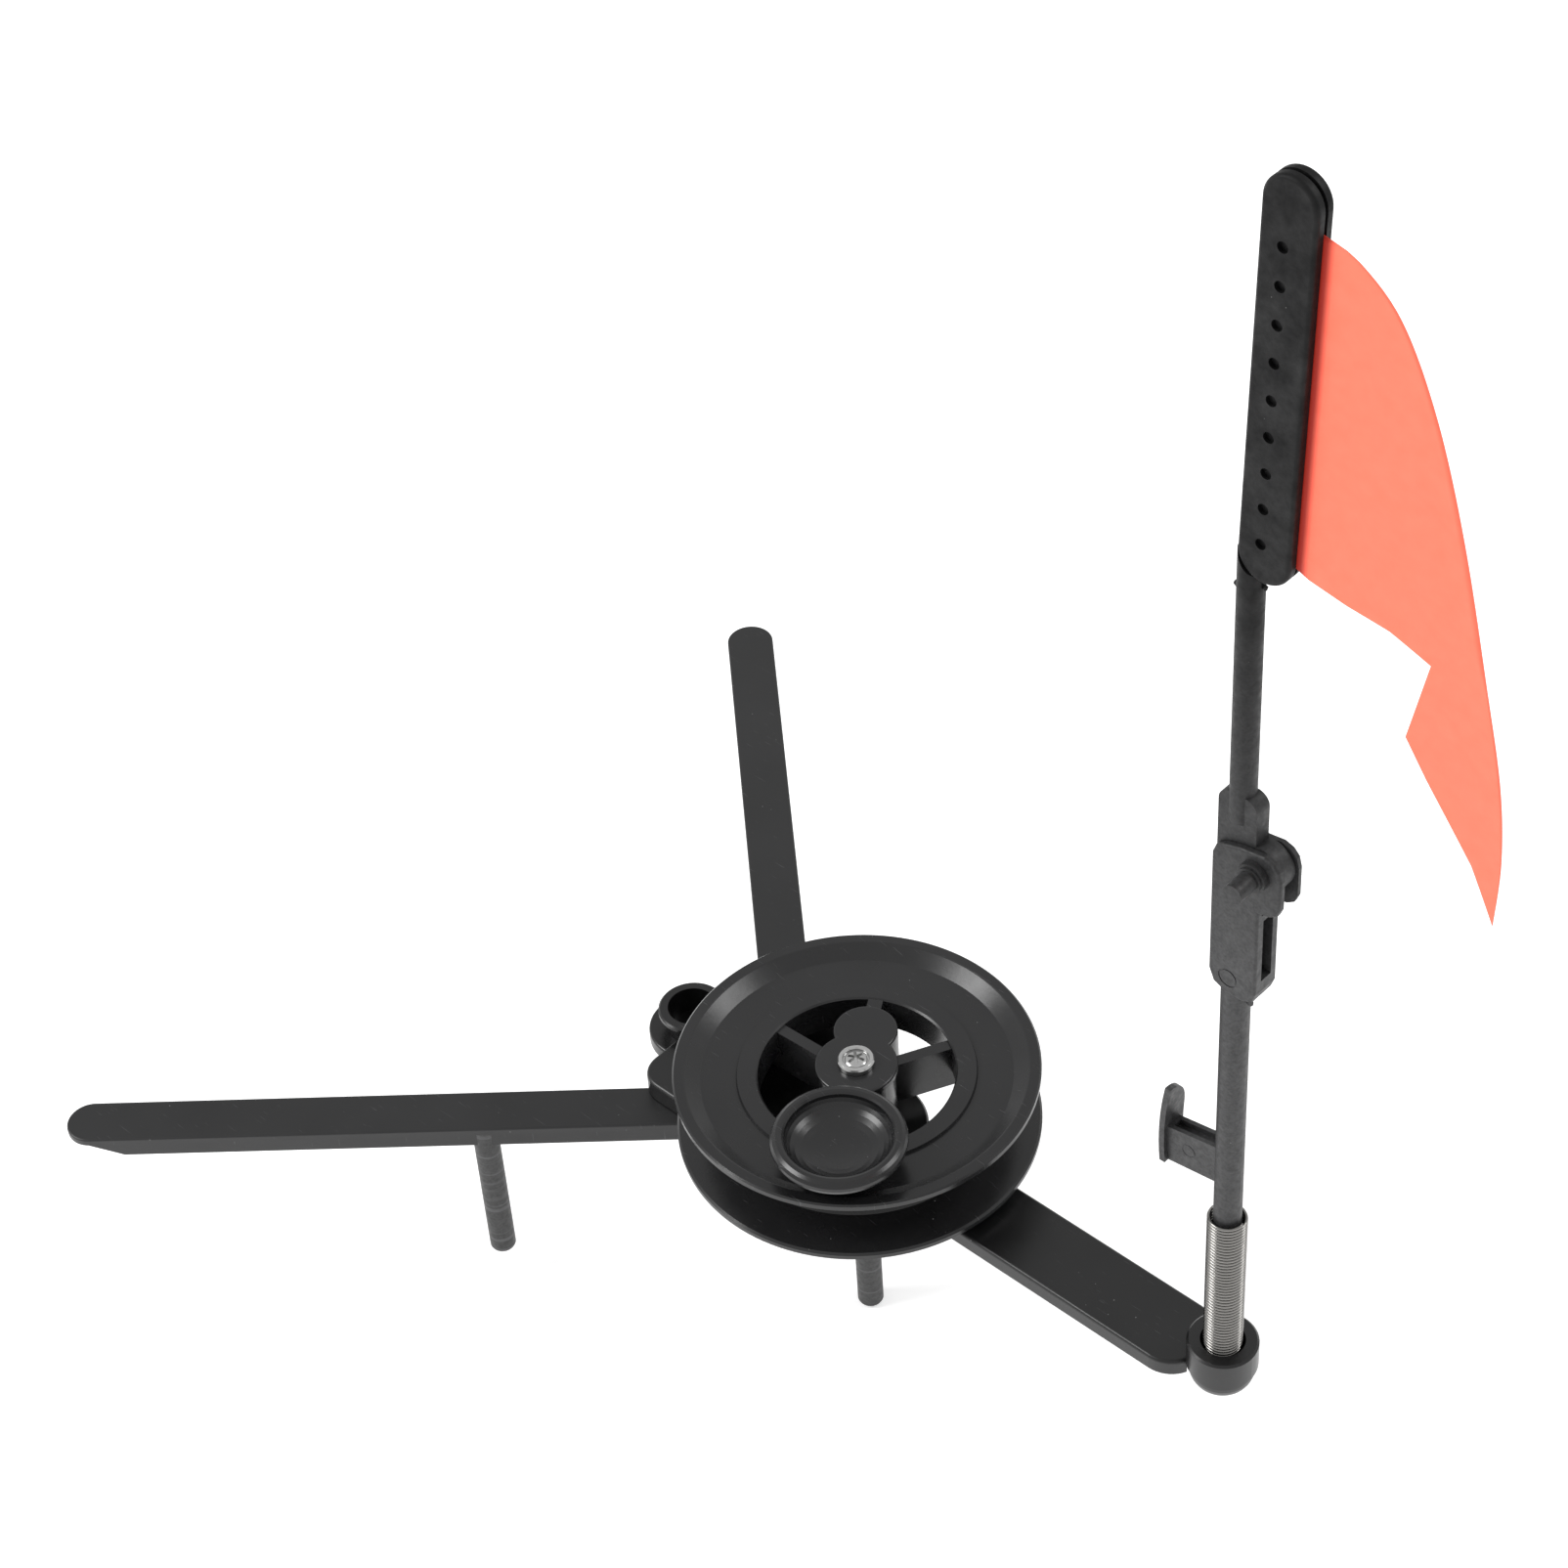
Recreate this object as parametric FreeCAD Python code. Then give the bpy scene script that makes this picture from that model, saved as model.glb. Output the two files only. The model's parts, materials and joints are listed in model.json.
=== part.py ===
"""Ice fishing tip up: a three-armed frame with a line spool on its hub and a sprung folding flag.

Millimetres.  The origin is on the spool's axis at the lower end of the centre peg.  +Z runs up the
spool's axis, +X along the main arm towards the flag, +Y to the left as seen from the spool.
"""
import FreeCAD, Part
import os
from math import radians, cos, sin

from FreeCAD import Vector

# ---- frame and arm ---------------------------------------------------------------------------------
ARM_TOP = 62.6            # top face of the main arm and of the rear plate
ARM_WIDTH = 18.9
ARM_DEPTH = 4.2
SKIN = 1.6                # wall of the open-bottomed arm
HUB_RADIUS = 16.1
HUB_TOP = ARM_TOP + 1.0
HUB_UNDERSIDE = 44.0      # lower end of the boss that holds the centre peg
AXLE_RADIUS = 3.6
RUNNING = 0.06            # radial play of a part that turns on a post or pin
REAR_END = -52.6
REAR_HALF_WIDTH = 21.5
REAR_CORNER = 6.5

# ---- sockets ---------------------------------------------------------------------------------------
POLE_X = 106.3            # axis of the flag socket, spring and lower pole
SOCKET_RIM = 69.9
SOCKET_SKIRT = 62.0       # lower edge of the socket's wall
SOCKET_RADIUS = 7.95
SOCKET_BORE = 5.0
CAP_RADIUS = 7.3
CAP_BOTTOM = 55.0
CUP_X = -54.0
CUP_RIM = 67.1
CUP_RADIUS = 8.2
CUP_BORE = 5.9
CUP_FLOOR = 59.6
CUP_FLANGE = 10.9         # lobe of the rear plate around the cup
CUP_FLANGE_TOP = 60.8

# ---- folding legs ----------------------------------------------------------------------------------
PIVOT_X, PIVOT_Y = -35.1, 13.6
LEG_TOP = 57.0
LEG_WIDTH = 12.2
LEG_REACH = 155.1         # pivot to the tip of the leg
LEG_DEPTH = 9.3
LEG_PLATE = 1.8
LEG_RIB = 5.2             # width of the rib under the top plate
LEG_EYE = 8.0
LEG_ANGLES = {"left": 136.9, "right": -138.0}   # direction of each spread leg, from +X
PIVOT_POST = 3.4
PIVOT_END = LEG_TOP - LEG_DEPTH - 0.3

# ---- pegs ------------------------------------------------------------------------------------------
PEG_RADIUS = 3.15
PEG_TIP = 0.9             # rounding at the peg's end
PEG_SPIGOT = 2.6          # thinner upper end of the centre peg, inside the hub
PEG_TOP = 52.0
LEG_PEG_AT = 55.2         # along the leg from its pivot
LEG_PEG_BOTTOM = 8.3      # the leg pegs end a little higher than the centre peg

# ---- spool -----------------------------------------------------------------------------------------
SPOOL_TOP = 83.6
SPOOL_BOTTOM = 65.0
SPOOL_RADIUS = 42.5
RIM_INNER = 39.6
RECESS_FLOOR = 81.1       # dished face of the top flange
RECESS_RADIUS = 36.1
RING_TOP = 81.9           # raised ring around the opening
RING_RADIUS = 27.9
OPENING_RADIUS = 22.9
SKIRT_BOTTOM = 73.1       # inner skirt around the opening
SKIRT_WALL = 1.6
DRUM_RADIUS = 31.6        # bottom of the line groove
DRUM_WALL = 1.6
SPOKES = (62.5, 182.5, 302.5)
SPOKE_THICKNESS = 2.9
SPOKE_TOP = 81.0
SPOKE_BOTTOM = 68.9
HUB_OUTER = 8.9
HUB_CAP = 82.7            # top of the spool's hub, under the cover
KNOB_REACH = 28.0
KNOB_ANGLE = 304.5
KNOB_TOP = 91.4
KNOB_RADIUS = 15.6
COVER_ANGLE = 120.5       # direction of the hub cover's small lobe, opposite the knob
LOBE_REACH = 10.8
LOBE_RADIUS = 7.5
COVER_RADIUS = 9.6
COVER_TOP = 84.4
SCREW_HEAD = 4.3

# ---- flag spring and poles -------------------------------------------------------------------------
SPRING_RADIUS = 4.35      # outside
WIRE = 0.9
COIL_PITCH = 0.93
SPRING_TURNS = 52
SPRING_TOP = 111.2
LOWER_POLE = 3.05
LOWER_POLE_END = 100.5    # lower end, inside the spring
UPPER_POLE = 2.7
CATCH_X = 90.2            # farthest point of the catch plate from the pole
CATCH_BOTTOM, CATCH_TOP = 119.8, 142.7
CATCH_SHOULDER = 133.5    # where the plate's top begins to round off
CATCH_HALF_WIDTH = 3.2
CATCH_THICKNESS = 1.4

# ---- folding hinge ---------------------------------------------------------------------------------
PIN_X, PIN_Z = 112.3, 216.9
PIN_RADIUS = 2.15
FORK_BOTTOM, FORK_TOP = 180.8, 222.3
FORK_LEFT, FORK_RIGHT = 101.9, 113.3
FORK_HALF = 3.5           # half of the fork's thickness
LUG_RIGHT = 118.3         # the lugs around the pin stand out beyond the fork's edge
LUG_BOTTOM = 207.4
SLOT_HALF = 2.15
SLOT_BOTTOM = 205.3
WINDOW_HALF = 1.55        # narrow window below the slot, open towards the flag's side
WINDOW_BOTTOM, WINDOW_TOP = 187.0, 203.6
TONGUE_HALF = 1.95
TONGUE_LEFT, TONGUE_RIGHT = 102.0, 111.1
TONGUE_BOTTOM, TONGUE_TOP = 206.6, 232.9
STUB_END = -10.6

# ---- flag holder and flag --------------------------------------------------------------------------
HOLDER_BOTTOM = 286.5
HOLDER_LENGTH = 86.6
HOLDER_WIDTH = 11.6
HOLDER_X = 110.1          # middle of the holder's lower end
HOLDER_LEAN = 1.9         # degrees off the pole, towards the flag
PLATE_OUTER = 2.4
PLATE_INNER = 0.4
STUDS = 9
STUD_PITCH = 7.96
STUD_FIRST = 8.8          # from the holder's lower end
STUD_SIDE = -0.7          # off the holder's middle, towards the pole
STUD_RADIUS = 1.15
FLAG_HALF = 0.4

Z = Vector(0, 0, 1)
Y = Vector(0, 1, 0)


def box(x0, x1, y0, y1, z0, z1):
    return Part.makeBox(x1 - x0, y1 - y0, z1 - z0, Vector(x0, y0, z0))


def rod(r, z0, z1, x=0.0, y=0.0):
    return Part.makeCylinder(r, z1 - z0, Vector(x, y, z0), Z)


def cross_rod(r, y0, y1, x, z):
    """A rod along Y."""
    return Part.makeCylinder(r, y1 - y0, Vector(x, y0, z), Y)


def join(first, *others):
    return first.fuse(list(others)).removeSplitter()


def turned(outline, x=0.0, y=0.0):
    """A solid of revolution about a vertical axis from (radius, height) points."""
    points = [Vector(r, 0, z) for r, z in outline]
    face = Part.Face(Part.makePolygon(points + points[:1]))
    solid = face.revolve(Vector(0, 0, 0), Z, 360)
    solid.translate(Vector(x, y, 0))
    return solid


def flat(points, z0, z1):
    """A vertical prism on a polygon of (x, y) points."""
    corners = [Vector(x, y, z0) for x, y in points]
    return Part.Face(Part.makePolygon(corners + corners[:1])).extrude(Vector(0, 0, z1 - z0))


def stadium(length, radius, z0, z1):
    """A round-ended bar along X, from 0 to length between its end centres."""
    return join(box(0, length, -radius, radius, z0, z1), rod(radius, z0, z1), rod(radius, z0, z1, length))


def round_edges(shape, radius, wanted):
    """Fillet the edges whose middle point passes the test."""
    edges = [e for e in shape.Edges if wanted(e.valueAt((e.FirstParameter + e.LastParameter) / 2))]
    return shape.makeFillet(radius, edges)


def on_level(shape_z, tolerance=0.01):
    return lambda p: abs(p.z - shape_z) < tolerance


# ---- main frame ------------------------------------------------------------------------------------
def arm_outline(grow, z0, z1):
    """The main arm from the hub to the flag socket, its end corners rounded."""
    half = ARM_WIDTH / 2 + grow
    corner = 8.0 + grow
    end = POLE_X - 5.0 + grow
    bar = box(0, end - corner, -half, half, z0, z1)
    nose = box(end - corner, end, -(half - corner), half - corner, z0, z1)
    ends = [rod(corner, z0, z1, end - corner, side * (half - corner)) for side in (-1, 1)]
    return join(bar, nose, *ends)


def rear_outline(grow, z0, z1):
    """The rear plate that covers the inner ends of both legs."""
    inner = REAR_HALF_WIDTH - REAR_CORNER
    back = REAR_END + REAR_CORNER
    r = REAR_CORNER + grow
    corners = [rod(r, z0, z1, back, side * inner) for side in (-1, 1)]
    half = REAR_HALF_WIDTH + grow
    middle = flat([(back, -half), (-31.0, -half), (-6.0, -15.2 - grow), (-6.0, 15.2 + grow),
                   (-31.0, half), (back, half)], z0, z1)
    tail = box(back - r, back, -inner, inner, z0, z1)
    return join(middle, tail, *corners)


def make_main_body():
    bottom = ARM_TOP - ARM_DEPTH
    ear_bottom = LEG_TOP + 0.3
    plate = join(arm_outline(0, bottom, ARM_TOP), rear_outline(0, ear_bottom, ARM_TOP))
    plate = round_edges(plate, 0.9, on_level(ARM_TOP))
    lobe = rod(CUP_FLANGE, ear_bottom, CUP_FLANGE_TOP, CUP_X)
    plate = join(plate, round_edges(lobe, 0.7, on_level(CUP_FLANGE_TOP)))

    hollow = arm_outline(-SKIN, bottom - 1, ARM_TOP - SKIN)
    keep = [rod(HUB_RADIUS, bottom - 1, ARM_TOP), rod(SOCKET_RADIUS + 1.0, bottom - 1, ARM_TOP, POLE_X)]
    ribs = [box(x - 0.7, x + 0.7, -ARM_WIDTH / 2 + 1, ARM_WIDTH / 2 - 1, bottom, ARM_TOP)
            for x in (34.0, 52.0, 70.0, 88.0)]
    for solid in keep + ribs:
        hollow = hollow.cut(solid)
    body = plate.cut(hollow)

    disk = turned([(0, bottom), (HUB_RADIUS - 0.6, bottom), (HUB_RADIUS, bottom + 0.6),
                   (HUB_RADIUS, HUB_TOP - 0.5), (HUB_RADIUS - 0.5, HUB_TOP), (0, HUB_TOP)])
    boss = turned([(0, HUB_UNDERSIDE), (4.9, HUB_UNDERSIDE), (5.5, HUB_UNDERSIDE + 0.6), (6.0, bottom), (0, bottom)])
    post = rod(AXLE_RADIUS, HUB_TOP, COVER_TOP + 0.1)
    ring = turned([(0, SOCKET_SKIRT), (SOCKET_RADIUS - 0.5, SOCKET_SKIRT), (SOCKET_RADIUS, SOCKET_SKIRT + 0.5),
                   (SOCKET_RADIUS, SOCKET_RIM - 0.5), (SOCKET_RADIUS - 0.5, SOCKET_RIM), (0, SOCKET_RIM)], POLE_X)
    cup = turned([(0, bottom), (6.5, bottom), (6.6, CUP_FLANGE_TOP), (7.4, CUP_RIM - 1.7), (CUP_RADIUS, CUP_RIM - 1.2),
                  (CUP_RADIUS, CUP_RIM - 0.4), (CUP_RADIUS - 0.4, CUP_RIM), (0, CUP_RIM)], CUP_X)
    posts = [rod(PIVOT_POST, PIVOT_END, ear_bottom + 1, PIVOT_X, side * PIVOT_Y) for side in (-1, 1)]
    body = join(body, disk, boss, post, ring, cup, *posts)

    cuts = [rod(SOCKET_BORE, bottom, SOCKET_RIM + 1, POLE_X), rod(CAP_RADIUS + 0.3, bottom - 1, SOCKET_SKIRT, POLE_X),
            rod(CUP_BORE, CUP_FLOOR, CUP_RIM + 1, CUP_X),
            rod(PEG_SPIGOT, HUB_UNDERSIDE - 1, PEG_TOP),
            rod(1.9, COVER_TOP - 14.0, COVER_TOP + 1)]
    cuts += [rod(1.5, PIVOT_END - 1, PIVOT_END + 8.0, PIVOT_X, side * PIVOT_Y) for side in (-1, 1)]
    for solid in cuts:
        body = body.cut(solid)
    return body


def make_socket_cap():
    """Domed plug in the underside of the flag socket, with a core that the spring grips."""
    drop = SOCKET_SKIRT - CAP_BOTTOM - 1.0
    dome = [(CAP_RADIUS * sin(radians(a)), CAP_BOTTOM + drop - drop * cos(radians(a))) for a in range(0, 91, 9)]
    core = [(CAP_RADIUS, SOCKET_SKIRT), (SOCKET_BORE, SOCKET_SKIRT), (SOCKET_BORE, SOCKET_SKIRT + 0.8),
            (3.3, SOCKET_SKIRT + 0.8), (3.3, 70.5), (2.6, 72.0), (0, 72.0)]
    return turned(dome + core, POLE_X)


def make_peg(bottom, top, x, y, spigot=()):
    r = PEG_RADIUS
    return turned([(0, bottom), (r - PEG_TIP, bottom), (r - 0.25, bottom + 0.35), (r, bottom + PEG_TIP), (r, top),
                   *(spigot or [(0, top)])], x, y)


def make_center_peg():
    spigot = [(PEG_SPIGOT, HUB_UNDERSIDE), (PEG_SPIGOT, PEG_TOP), (0, PEG_TOP)]
    return make_peg(0.0, HUB_UNDERSIDE, 0.0, 0.0, spigot)


# ---- fasteners -------------------------------------------------------------------------------------
def pan_screw(head, height, shank, length, x, y, seat, up=1):
    """A pan-head screw with a cross recess; its head sits on the level `seat`, the shank points away."""
    outline = [(0, 0), (head, 0), (head, height * 0.45), (head * 0.9, height * 0.75), (head * 0.62, height),
               (0, height)]
    screw = join(turned(outline), rod(shank, -length, 0))
    for angle in (0, 90):
        slot = box(-head * 0.5, head * 0.5, -0.42, 0.42, height * 0.35, height + 1)
        slot.rotate(Vector(0, 0, 0), Z, angle + 25)
        screw = screw.cut(slot)
    if up < 0:
        screw.rotate(Vector(0, 0, 0), Y, 180)
    screw.translate(Vector(x, y, seat))
    return screw


def make_axle_screw():
    """Pan-head screw with a flat outer rim, a low inner dome and a crossed recess."""
    r = SCREW_HEAD
    seat = COVER_TOP + 0.1
    dome = [(2.7 * sin(radians(a)), 0.9 + 0.9 * cos(radians(a))) for a in range(0, 91, 15)]
    head = turned([(0, 0), (r, 0), (r, 1.1), (r - 0.3, 1.5), (r - 0.5, 1.6), (r - 1.1, 1.6), (r - 1.3, 1.3),
                   (r - 1.35, 0.9)] + dome[::-1])
    screw = join(head, rod(1.9, -14.0, 0))
    for angle in (20, 80, 140):
        slot = box(-2.0, 2.0, -0.36, 0.36, 0.5, 3.0)
        slot.rotate(Vector(0, 0, 0), Z, angle)
        screw = screw.cut(slot)
    screw.translate(Vector(0, 0, seat))
    return screw


def washer(outer, inner, z0, z1, x=0.0, y=0.0):
    return rod(outer, z0, z1, x, y).cut(rod(inner, z0 - 1, z1 + 1, x, y))


# ---- legs ------------------------------------------------------------------------------------------
def make_leg(side):
    """A flat round-ended arm with a rib below it and an eye at its pivot, turned to its place."""
    half = LEG_WIDTH / 2
    tip = LEG_REACH - half
    floor = LEG_TOP - LEG_DEPTH
    plate = stadium(tip, half, LEG_TOP - LEG_PLATE, LEG_TOP)
    plate = round_edges(plate, 0.5, on_level(LEG_TOP))
    rib = stadium(tip + half - LEG_RIB / 2 - 0.8, LEG_RIB / 2, floor, LEG_TOP - LEG_PLATE)
    slope = upright([(LEG_REACH - 13.0, floor - 0.1), (LEG_REACH + 1, floor - 0.1), (LEG_REACH + 1, LEG_TOP - 3.2)], 8)
    eye = turned([(0, floor), (LEG_EYE - 0.5, floor), (LEG_EYE, floor + 0.5),
                  (LEG_EYE, LEG_TOP - 0.5), (LEG_EYE - 0.5, LEG_TOP), (0, LEG_TOP)])
    socket = rod(PEG_RADIUS + 1.3, LEG_TOP - LEG_PLATE - 1.6, LEG_TOP - LEG_PLATE, LEG_PEG_AT)
    leg = join(plate, rib.cut(slope), eye, socket)
    leg = leg.cut(rod(PIVOT_POST + RUNNING, floor - 1, LEG_TOP + 1))
    leg = leg.cut(rod(PEG_RADIUS, floor - 1, LEG_TOP - LEG_PLATE, LEG_PEG_AT))
    return set_on_pivot(leg, side)


def make_leg_peg(side):
    return set_on_pivot(make_peg(LEG_PEG_BOTTOM, LEG_TOP - LEG_PLATE, LEG_PEG_AT, 0.0), side)


def set_on_pivot(shape, side):
    shape.rotate(Vector(0, 0, 0), Z, LEG_ANGLES[side])
    shape.translate(Vector(PIVOT_X, PIVOT_Y if side == "left" else -PIVOT_Y, 0))
    return shape


# ---- spool -----------------------------------------------------------------------------------------
def spoke_bar(angle, start, end, half, z0, z1):
    """A bar along a radius of the spool."""
    bar = box(start, end, -half, half, z0, z1)
    bar.rotate(Vector(0, 0, 0), Z, angle)
    return bar


def make_spool():
    """Grooved drum with a wide opening, three spokes and a hub, one moulding."""
    r = SPOOL_RADIUS
    groove = DRUM_RADIUS
    inside = DRUM_RADIUS - DRUM_WALL
    skirt = OPENING_RADIUS + SKIRT_WALL
    top_flange = [(OPENING_RADIUS, SKIRT_BOTTOM), (OPENING_RADIUS, RING_TOP - 0.4), (OPENING_RADIUS + 0.4, RING_TOP),
                  (RING_RADIUS - 0.3, RING_TOP), (RING_RADIUS, RECESS_FLOOR), (RECESS_RADIUS, RECESS_FLOOR),
                  (RIM_INNER, SPOOL_TOP - 0.15), (RIM_INNER + 0.3, SPOOL_TOP), (r - 0.4, SPOOL_TOP),
                  (r, SPOOL_TOP - 0.4), (r, SPOOL_TOP - 1.6), (r - 0.5, SPOOL_TOP - 2.1)]
    line_groove = [(groove + 1.2, SPOOL_TOP - 4.9), (groove, SPOOL_TOP - 6.0), (groove, SPOOL_BOTTOM + 5.4),
                   (groove + 1.2, SPOOL_BOTTOM + 4.3)]
    low_flange = [(r - 0.5, SPOOL_BOTTOM + 2.0), (r, SPOOL_BOTTOM + 1.5), (r, SPOOL_BOTTOM + 0.4),
                  (r - 0.4, SPOOL_BOTTOM), (r - 1.6, SPOOL_BOTTOM), (inside + 0.8, SPOOL_BOTTOM + 2.6),
                  (inside, SPOOL_BOTTOM + 3.4)]
    inner = [(inside, RECESS_FLOOR - 1.6), (skirt, RECESS_FLOOR - 1.6), (skirt, SKIRT_BOTTOM)]
    drum = turned(top_flange + line_groove + low_flange + inner)

    half = SPOKE_THICKNESS / 2
    spokes = [spoke_bar(a, 6.2, OPENING_RADIUS + 0.8, half, SPOKE_BOTTOM, SPOKE_TOP) for a in SPOKES]
    spokes += [spoke_bar(a, 6.2, inside + 0.8, half, SPOKE_BOTTOM, RECESS_FLOOR - 1.0) for a in SPOKES]
    x, y = knob_place()
    seat = rod(3.2, SPOKE_BOTTOM, RECESS_FLOOR, x, y).cut(washer(60, DRUM_RADIUS, 0, 200))
    spool = join(drum, rod(HUB_OUTER, SPOOL_BOTTOM, HUB_CAP), *spokes, seat)
    spool = spool.cut(rod(AXLE_RADIUS + RUNNING, SPOOL_BOTTOM - 1, SPOOL_TOP + 1))
    return spool.cut(rod(1.2, SPOKE_BOTTOM - 1, SPOOL_TOP, x, y))


def knob_place():
    a = radians(KNOB_ANGLE)
    return KNOB_REACH * cos(a), KNOB_REACH * sin(a)


def make_knob():
    """A round finger knob with a dished top, standing on the spool's upper flange."""
    x, y = knob_place()
    foot = RECESS_FLOOR
    r, top = KNOB_RADIUS, KNOB_TOP
    side = [(7.6, foot), (8.2, foot + 1.5), (9.8, foot + 2.9), (12.4, top - 5.2), (14.3, top - 4.0), (15.3, top - 3.0),
            (r, top - 2.1), (r - 0.1, top - 1.3), (r - 0.6, top - 0.6), (r - 1.4, top - 0.1), (r - 2.2, top),
            (r - 2.8, top - 0.2)]
    dish = [((r - 3.2) * cos(radians(a)), top - 0.7 - 5.7 * sin(radians(a))) for a in range(0, 90, 9)]
    knob = turned([(0, foot)] + side + dish + [(0, KNOB_TOP - 6.4)], x, y)
    knob = knob.cut(washer(RING_RADIUS, OPENING_RADIUS, foot - 1, RING_TOP))
    knob = knob.cut(washer(60, RECESS_RADIUS - 0.6, foot - 1, SPOOL_TOP + 0.1))
    return knob.cut(rod(1.0, foot - 1, foot + 2.2, x, y))


def make_hub_cover():
    """Figure-of-eight cover over the hub and between two spokes, with a tab at its outer end."""
    a = radians(COVER_ANGLE)
    lobe_x, lobe_y = LOBE_REACH * cos(a), LOBE_REACH * sin(a)
    under = HUB_CAP
    plate = join(rod(COVER_RADIUS, under, COVER_TOP), rod(LOBE_RADIUS, under, COVER_TOP, lobe_x, lobe_y),
                 spoke_bar(COVER_ANGLE, 2.0, LOBE_REACH - 1.0, 6.0, under, COVER_TOP))
    plate = round_edges(plate, 0.6, on_level(COVER_TOP))
    skirt = washer(LOBE_RADIUS, LOBE_RADIUS - 1.4, SKIRT_BOTTOM, under, lobe_x, lobe_y)
    skirt = skirt.cut(rod(HUB_OUTER, 0, 200))
    tab = spoke_bar(COVER_ANGLE, LOBE_REACH + 6.6, OPENING_RADIUS - 0.2, 1.75, SKIRT_BOTTOM + 3, RING_TOP)
    return join(plate, skirt, tab).cut(rod(AXLE_RADIUS + RUNNING, 0, 200))


# ---- spring, poles and hinge -----------------------------------------------------------------------
def make_spring():
    """A close-coiled extension spring, drawn as a tube with one rounded rib for each turn."""
    bottom = SPRING_TOP - SPRING_TURNS * COIL_PITCH
    edges = []
    crest = SPRING_RADIUS
    root = SPRING_RADIUS - WIRE * 0.35
    for i in range(SPRING_TURNS):
        z = bottom + i * COIL_PITCH
        edges.append(Part.Arc(Vector(root, 0, z), Vector(crest, 0, z + COIL_PITCH / 2),
                              Vector(root, 0, z + COIL_PITCH)).toShape())
    inner = SPRING_RADIUS - WIRE
    corners = [Vector(root, 0, SPRING_TOP), Vector(inner, 0, SPRING_TOP), Vector(inner, 0, bottom),
               Vector(root, 0, bottom)]
    edges += [Part.LineSegment(a, b).toShape() for a, b in zip(corners, corners[1:])]
    spring = Part.Face(Part.Wire(edges)).revolve(Vector(0, 0, 0), Z, 360)
    spring.translate(Vector(POLE_X, 0, 0))
    return spring


def upright(points, half, y0=0.0):
    """A plate in the XZ plane on a polygon of (x, z) points, half thick each side of y0."""
    corners = [Vector(x, y0 - half, z) for x, z in points]
    return Part.Face(Part.makePolygon(corners + corners[:1])).extrude(Vector(0, 2 * half, 0))


def upright_round(x0, x1, z0, z1, radius, half):
    """An upright plate with four rounded corners."""
    r = radius
    plates = [box(x0 + r, x1 - r, -half, half, z0, z1), box(x0, x1, -half, half, z0 + r, z1 - r)]
    corners = [cross_rod(r, -half, half, x, z) for x in (x0 + r, x1 - r) for z in (z0 + r, z1 - r)]
    return join(*plates, *corners)


def make_lower_pole():
    """Rod with the catch arm and its plate low down and the hinge fork at its top, one moulding."""
    pole = turned([(0, LOWER_POLE_END), (LOWER_POLE - 0.6, LOWER_POLE_END), (LOWER_POLE, LOWER_POLE_END + 0.8),
                   (LOWER_POLE, FORK_BOTTOM + 3.0), (0, FORK_BOTTOM + 3.0)], POLE_X)
    root_x, tip_x = POLE_X - 2.1, CATCH_X + 0.8
    arm = upright([(tip_x, 129.8), (POLE_X, 132.8), (POLE_X, 122.2), (tip_x, 119.8)], 2.1)
    channel = upright([(tip_x + 1.6, 133.0), (root_x - 1.0, 133.0), (root_x - 1.0, 130.8), (tip_x + 1.6, 128.6)], 1.1)
    arm = arm.cut(channel)
    plate = make_catch_plate()

    fork = make_fork()
    return join(pole, arm, plate, fork)


def make_fork():
    """Two cheeks around the hinge tongue, with lugs for the pin and a narrow window below the slot."""
    outline = [(FORK_LEFT + 4.2, FORK_BOTTOM), (FORK_RIGHT - 3.0, FORK_BOTTOM), (FORK_RIGHT - 0.8, FORK_BOTTOM + 1.0),
               (FORK_RIGHT, FORK_BOTTOM + 3.4), (FORK_RIGHT, LUG_BOTTOM - 0.6), (FORK_RIGHT + 2.6, LUG_BOTTOM),
               (LUG_RIGHT - 0.7, LUG_BOTTOM + 1.3), (LUG_RIGHT, LUG_BOTTOM + 3.2), (LUG_RIGHT, FORK_TOP - 4.6),
               (LUG_RIGHT - 0.6, FORK_TOP - 2.2), (LUG_RIGHT - 2.0, FORK_TOP - 0.7), (LUG_RIGHT - 4.2, FORK_TOP),
               (FORK_LEFT + 6.5, FORK_TOP - 0.9), (FORK_LEFT + 2.6, FORK_TOP - 2.2), (FORK_LEFT + 0.8, FORK_TOP - 3.4),
               (FORK_LEFT, FORK_TOP - 5.6), (FORK_LEFT, FORK_BOTTOM + 4.4), (FORK_LEFT + 1.2, FORK_BOTTOM + 1.4)]
    fork = upright(outline, FORK_HALF)
    fork = round_edges(fork, 0.6, lambda p: abs(abs(p.y) - FORK_HALF) < 0.01)
    cuts = [box(FORK_LEFT - 1, LUG_RIGHT + 1, -SLOT_HALF, SLOT_HALF, SLOT_BOTTOM, FORK_TOP + 1),
            box(POLE_X, FORK_RIGHT + 1, -WINDOW_HALF, WINDOW_HALF, WINDOW_BOTTOM, WINDOW_TOP),
            cross_rod(PIN_RADIUS, -8, 8, PIN_X, PIN_Z),
            cross_rod(2.3, -FORK_HALF - 1, -FORK_HALF + 0.15, POLE_X + 0.4, 185.2)]
    for solid in cuts:
        fork = fork.cut(solid)
    mark = cross_rod(1.9, -FORK_HALF, -FORK_HALF + 0.16, POLE_X + 0.4, 185.2)
    return join(fork, mark)


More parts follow.
